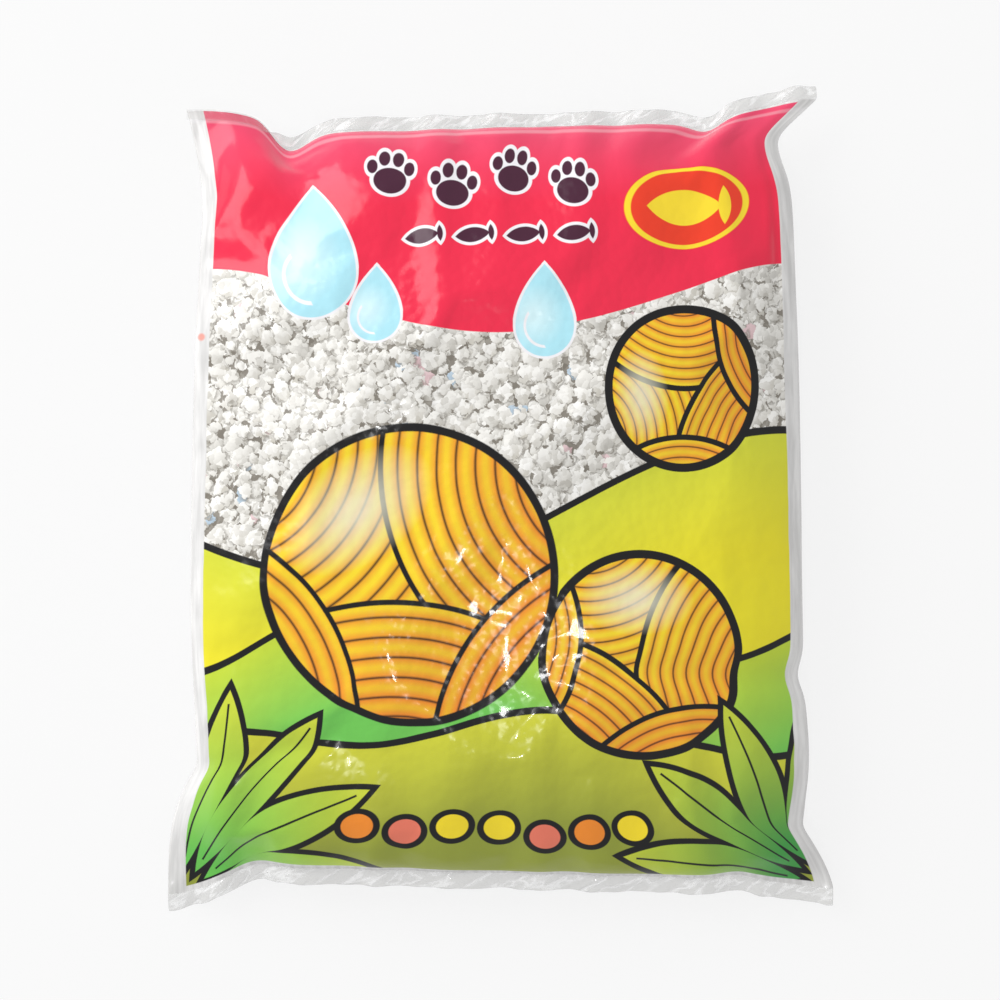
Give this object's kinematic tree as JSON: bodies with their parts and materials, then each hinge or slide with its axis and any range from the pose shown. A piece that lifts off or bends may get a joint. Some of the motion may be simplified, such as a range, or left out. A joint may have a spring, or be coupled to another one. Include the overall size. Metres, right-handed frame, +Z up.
{
  "type": "cat litter bag",
  "caption": "Sealed pillow pack of printed film, filled with cat litter granules and lying on its back, with a sealed flap across each end and a flat ear at each corner.",
  "frame": {"origin": "on the floor below the middle of the pack, which lies on its back", "axes": "+Z up, out of the printed front; +Y along the pack, to the top of the print; +X across it, to the right of the print"},
  "size_m": [0.4008, 0.4946, 0.0885],
  "materials": {
    "printed_film": "glossy film, printed"
  },
  "bodies": {
    "root": {"litter_bag": "printed_film"}
  },
  "joints": []
}
